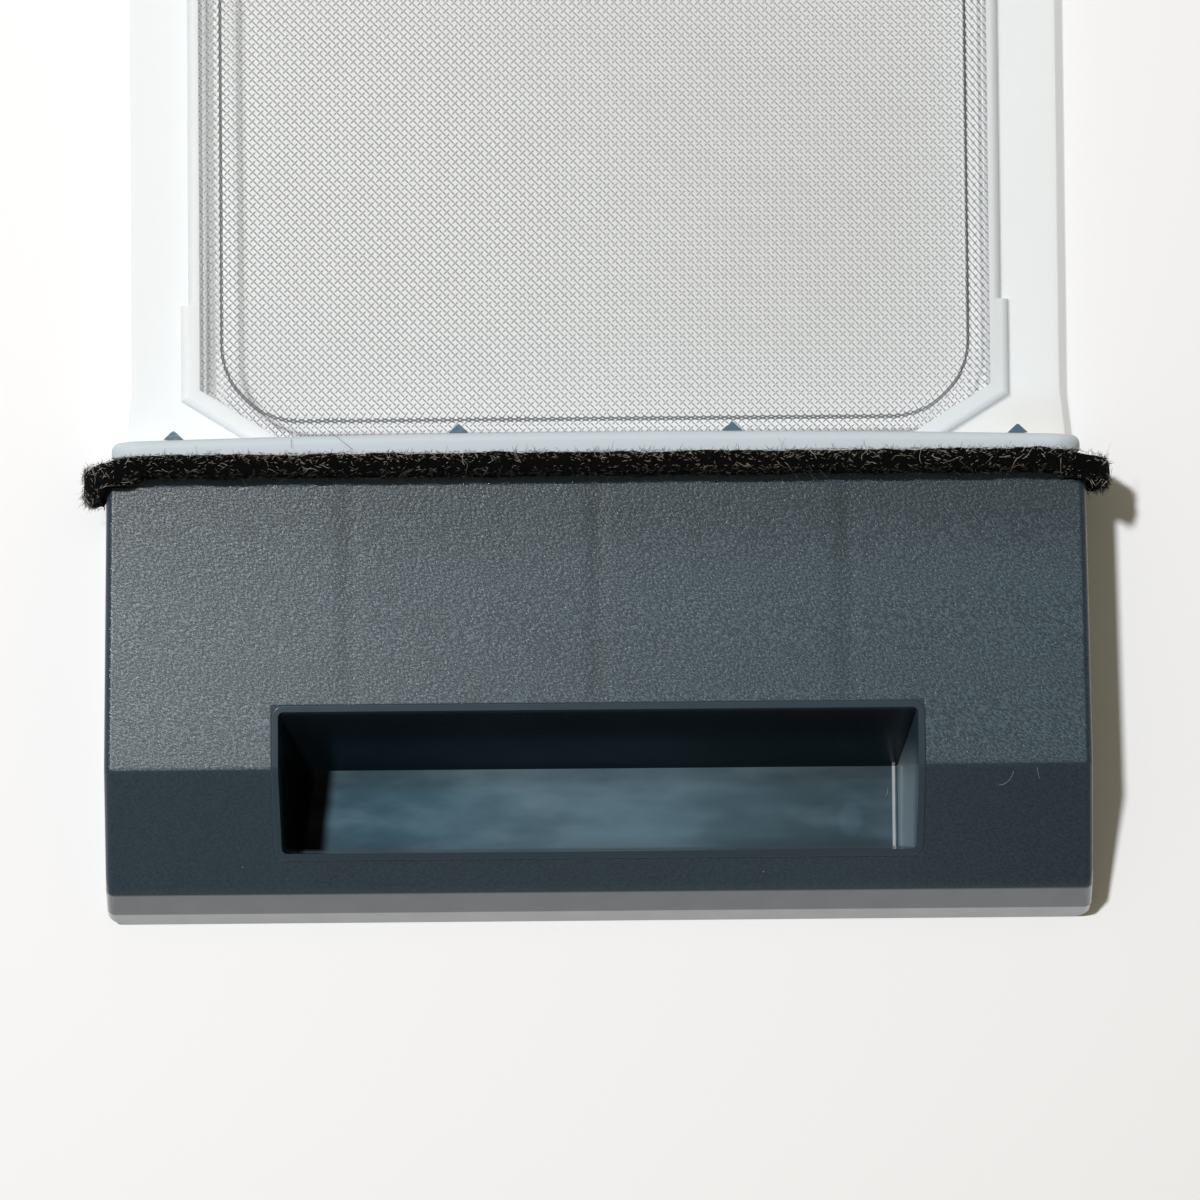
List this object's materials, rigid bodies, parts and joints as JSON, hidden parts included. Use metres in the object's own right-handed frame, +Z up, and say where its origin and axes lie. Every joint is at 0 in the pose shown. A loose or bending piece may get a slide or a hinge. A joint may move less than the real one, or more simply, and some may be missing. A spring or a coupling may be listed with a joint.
{
  "type": "tumble dryer lint filter",
  "caption": "Tumble dryer lint filter: dark hollow handle with a finger pocket and felt seal, snapped to a white framed wire mesh screen.",
  "frame": {"origin": "middle of the underside that the filter lies on", "axes": "+Y from the handle to the far end of the screen, +Z up from the underside, +X across"},
  "size_m": [0.2712, 0.3998, 0.038],
  "materials": {
    "slate_plastic": "fine grain on the top face, smooth elsewhere",
    "white_plastic": "satin, slightly translucent",
    "steel_wire": "plain woven wire cloth",
    "black_felt": "fuzzy wool felt"
  },
  "bodies": {
    "root": {"handle_cover": "slate_plastic", "screen_frame": "white_plastic", "mesh_screen": "steel_wire", "felt_seal": "black_felt"}
  },
  "joints": []
}
